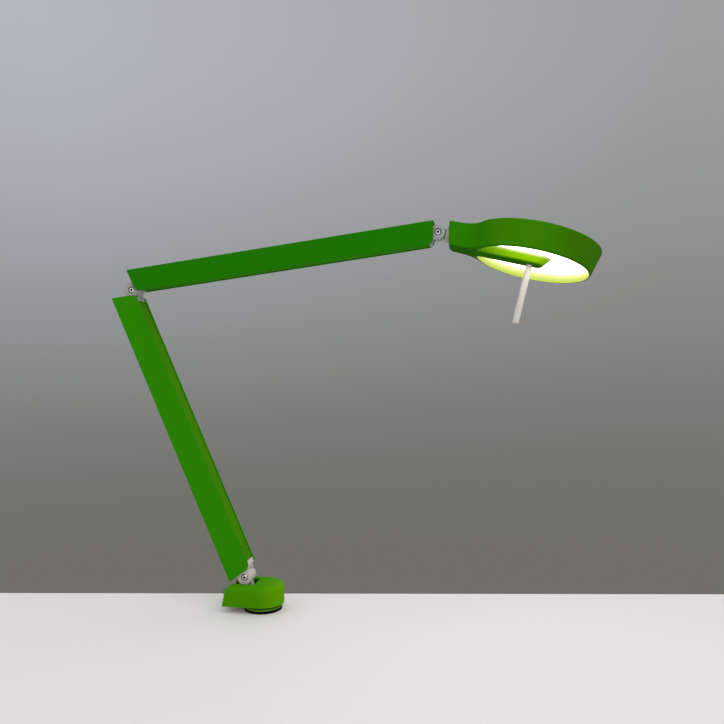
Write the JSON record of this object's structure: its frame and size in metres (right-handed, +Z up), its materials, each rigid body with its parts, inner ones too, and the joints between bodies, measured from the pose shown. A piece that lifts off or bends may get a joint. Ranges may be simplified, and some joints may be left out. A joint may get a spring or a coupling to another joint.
{
  "type": "desk lamp",
  "caption": "Desk lamp with channel arms on friction knuckles, a swivelling desk mount and a round tilting LED head with a handle rod.",
  "frame": {"origin": "on the swivel axis, in the underside of the desk pad", "axes": "+Z up along the swivel axis, +X from the base towards the head in the plane of the arms, +Y to the side away from the bolt heads"},
  "size_m": [0.6441, 0.1569, 0.507],
  "materials": {
    "green_paint": "satin paint on aluminium",
    "hinge_grey": "matt grey paint on cast aluminium",
    "steel": "zinc plated",
    "pad_rubber": "matt",
    "cable_sheath": "matt",
    "black_nylon": "matt",
    "gland_grey": "matt",
    "rod_white": "satin",
    "diffuser_white": "satin",
    "spreader_metal": "bare",
    "board_white": "solder mask",
    "led_phosphor": "satin"
  },
  "bodies": {
    "desk_mount": {"desk_pad": "pad_rubber", "desk_plate": "green_paint", "swivel_spindle": "steel", "thrust_washer": "black_nylon", "spindle_washer": "steel", "spindle_clip": "steel"},
    "turret": {"base_casting": "hinge_grey", "swivel_bush": "black_nylon", "base_cover": "green_paint", "cover_screws": "steel", "cable_gland": "gland_grey", "gland_nut": "black_nylon"},
    "lower_arm": {"lower_channel": "green_paint", "lower_cover_strip": "green_paint", "lower_foot_plug": "hinge_grey", "lower_elbow_plug": "hinge_grey", "lower_plug_screws": "steel", "lower_arm_cable": "cable_sheath", "base_hinge_bolt": "steel", "base_hinge_nut": "steel", "base_hinge_washers": "black_nylon"},
    "upper_arm": {"upper_channel": "green_paint", "upper_cover_strip": "green_paint", "upper_elbow_plug": "hinge_grey", "upper_head_plug": "hinge_grey", "upper_plug_screws": "steel", "upper_arm_cable": "cable_sheath", "elbow_hinge_bolt": "steel", "elbow_hinge_nut": "steel", "elbow_hinge_washers": "black_nylon", "head_hinge_bolt": "steel", "head_hinge_nut": "steel", "head_hinge_washers": "black_nylon"},
    "head_knuckle": {"head_knuckle": "hinge_grey", "stem_clip": "steel"},
    "head": {"head_frame": "green_paint", "stem_bush": "black_nylon", "bridge": "green_paint", "bridge_screws": "steel", "handle_rod": "rod_white", "handle_screw": "steel", "head_lid": "green_paint", "heat_spreader": "spreader_metal", "led_board": "board_white", "led_chips": "led_phosphor", "led_screws": "steel", "diffuser": "diffuser_white"}
  },
  "joints": [
    {"name": "base_swivel", "type": "hinge", "parent": "desk_mount", "child": "turret", "pos_m": [0, 0, 0], "axis": [0, 0, 1], "range_deg": [-170, 170]},
    {"name": "lower_arm_tilt", "type": "hinge", "parent": "turret", "child": "lower_arm", "pos_m": [-0.0229, 0, 0.042], "axis": [0, 1, 0], "range_deg": [-35, 42]},
    {"name": "elbow", "type": "hinge", "parent": "lower_arm", "child": "upper_arm", "pos_m": [-0.18449, 0, 0.42675], "axis": [0, -1, 0], "range_deg": [-30, 95]},
    {"name": "head_tilt", "type": "hinge", "parent": "upper_arm", "child": "head_knuckle", "pos_m": [0.23292, 0, 0.49263], "axis": [0, 1, 0], "range_deg": [-60, 60]},
    {"name": "head_roll", "type": "hinge", "parent": "head_knuckle", "child": "head", "pos_m": [0.23292, 0, 0.49263], "axis": [0.9724, 0, -0.2334], "range_deg": [-53, 67]}
  ]
}
